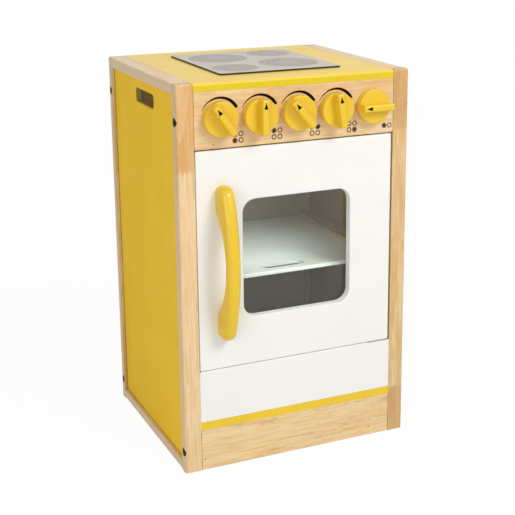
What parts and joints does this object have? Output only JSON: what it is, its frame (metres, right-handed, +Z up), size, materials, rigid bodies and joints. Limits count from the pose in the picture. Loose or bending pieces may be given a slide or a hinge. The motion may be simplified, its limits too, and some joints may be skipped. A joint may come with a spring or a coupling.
{
  "type": "toy oven",
  "caption": "Child's wooden play oven with a side-hung windowed door, bow handle, rotary knobs, inner shelf and a printed hob on top.",
  "frame": {"origin": "on the floor, in the middle of the footprint with the door handle included", "axes": "+Z up, +X to the right seen from the front, +Y towards the back"},
  "size_m": [0.36, 0.359, 0.573],
  "materials": {
    "rubberwood": "satin clear-coated pale hardwood",
    "yellow_paint": "semi-gloss yellow paint on wood fibreboard",
    "yellow_knob_paint": "semi-gloss yellow paint on turned wood",
    "white_paint": "satin white paint on wood fibreboard",
    "grey_paint": "matt grey printed plate",
    "clear_acrylic": "clear acrylic sheet",
    "bronze_bolt": "dark bronze finish on steel",
    "zinc_steel": "bright zinc plated steel",
    "dowel_beech": "plain beech dowel",
    "nylon": "moulded nylon",
    "magnet": "ferrite magnet with steel faces",
    "back_board": "plain hardboard back"
  },
  "bodies": {
    "cabinet": {"left_front_post": "rubberwood", "left_rear_post": "rubberwood", "right_front_post": "rubberwood", "right_rear_post": "rubberwood", "left_top_rail": "rubberwood", "left_bottom_rail": "rubberwood", "right_top_rail": "rubberwood", "right_bottom_rail": "rubberwood", "control_panel": "rubberwood", "plinth_board": "rubberwood", "rear_top_rail": "rubberwood", "rear_bottom_rail": "rubberwood", "left_shelf_runner": "rubberwood", "right_shelf_runner": "rubberwood", "left_side_panel": "yellow_paint", "right_side_panel": "yellow_paint", "top_board": "yellow_paint", "bottom_board": "yellow_paint", "lower_front_panel": "white_paint", "hob_plate": "grey_paint", "back_panel": "back_board", "frame_bolts": "bronze_bolt", "barrel_nuts": "zinc_steel", "runner_screws": "zinc_steel", "lower_pivot_plate": "zinc_steel", "upper_pivot_plate": "zinc_steel", "pivot_plate_screws": "zinc_steel", "catch_screws": "zinc_steel", "rail_dowels": "dowel_beech", "board_dowels": "dowel_beech", "catch_housing": "nylon", "catch_magnet": "magnet"},
    "door": {"door_panel": "white_paint", "window_pane": "clear_acrylic", "pane_washers": "zinc_steel", "pane_screws": "zinc_steel", "door_handle": "yellow_knob_paint", "handle_screws": "zinc_steel", "lower_pivot_bush": "nylon", "upper_pivot_bush": "nylon", "strike_plate": "zinc_steel", "strike_screw": "zinc_steel"},
    "shelf": {"oven_shelf": "white_paint"},
    "knob_1": {"knob_1": "yellow_knob_paint", "knob_1_washer": "zinc_steel", "knob_1_screw": "zinc_steel"},
    "knob_2": {"knob_2": "yellow_knob_paint", "knob_2_washer": "zinc_steel", "knob_2_screw": "zinc_steel"},
    "knob_3": {"knob_3": "yellow_knob_paint", "knob_3_washer": "zinc_steel", "knob_3_screw": "zinc_steel"},
    "knob_4": {"knob_4": "yellow_knob_paint", "knob_4_washer": "zinc_steel", "knob_4_screw": "zinc_steel"},
    "knob_5": {"knob_5": "yellow_knob_paint", "knob_5_washer": "zinc_steel", "knob_5_screw": "zinc_steel"}
  },
  "joints": [
    {"name": "door_hinge", "type": "hinge", "parent": "cabinet", "child": "door", "pos_m": [0.1372, -0.127, 0.31365], "axis": [0, 0, 1], "range_deg": [0, 110]},
    {"name": "shelf_slide", "type": "slide", "parent": "cabinet", "child": "shelf", "axis": [0, -1, 0], "range_m": [0, 0.006]},
    {"name": "knob_1_turn", "type": "hinge", "parent": "cabinet", "child": "knob_1", "pos_m": [-0.118, -0.1445, 0.52], "axis": [0, -1, 0], "continuous": true},
    {"name": "knob_2_turn", "type": "hinge", "parent": "cabinet", "child": "knob_2", "pos_m": [-0.059, -0.1445, 0.52], "axis": [0, -1, 0], "continuous": true},
    {"name": "knob_3_turn", "type": "hinge", "parent": "cabinet", "child": "knob_3", "pos_m": [0, -0.1445, 0.52], "axis": [0, -1, 0], "continuous": true},
    {"name": "knob_4_turn", "type": "hinge", "parent": "cabinet", "child": "knob_4", "pos_m": [0.059, -0.1445, 0.52], "axis": [0, -1, 0], "continuous": true},
    {"name": "knob_5_turn", "type": "hinge", "parent": "cabinet", "child": "knob_5", "pos_m": [0.118, -0.1445, 0.52], "axis": [0, -1, 0], "continuous": true}
  ]
}
